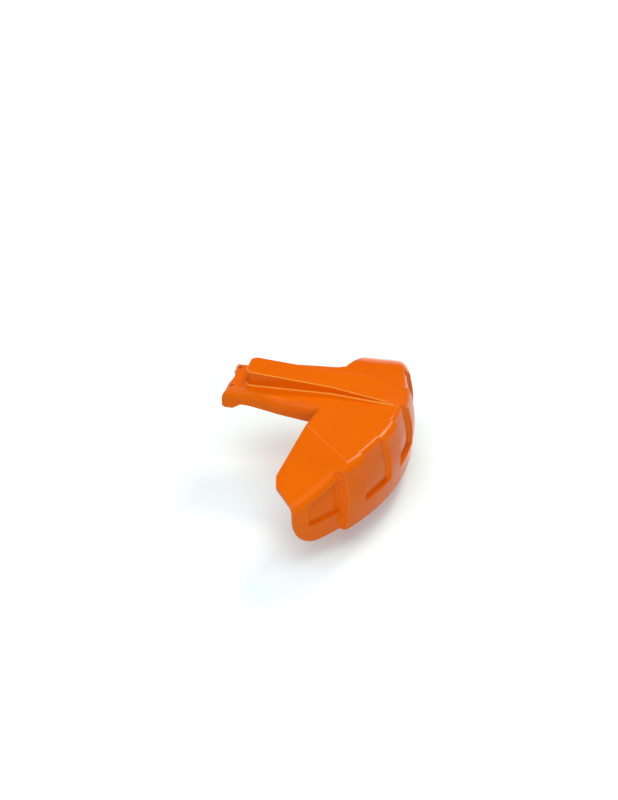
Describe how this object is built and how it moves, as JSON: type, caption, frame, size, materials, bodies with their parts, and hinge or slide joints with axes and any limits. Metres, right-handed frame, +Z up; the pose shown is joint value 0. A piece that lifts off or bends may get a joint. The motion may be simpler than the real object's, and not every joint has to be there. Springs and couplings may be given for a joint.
{
  "type": "trimmer blade guard",
  "caption": "Moulded plastic blade guard for a grass trimmer: hollow arm with a ridge, flat deck, folded wing and curved skirt, screwed under the gear head.",
  "frame": {"origin": "midway between the two screw holes, on the top face of the arm", "axes": "+X back towards the operator, +Y to the operator's right, +Z up along the screws"},
  "size_m": [0.204, 0.3118, 0.0893],
  "materials": {
    "guard_plastic": "semi-gloss moulded orange"
  },
  "bodies": {
    "root": {"guard": "guard_plastic"}
  },
  "joints": []
}
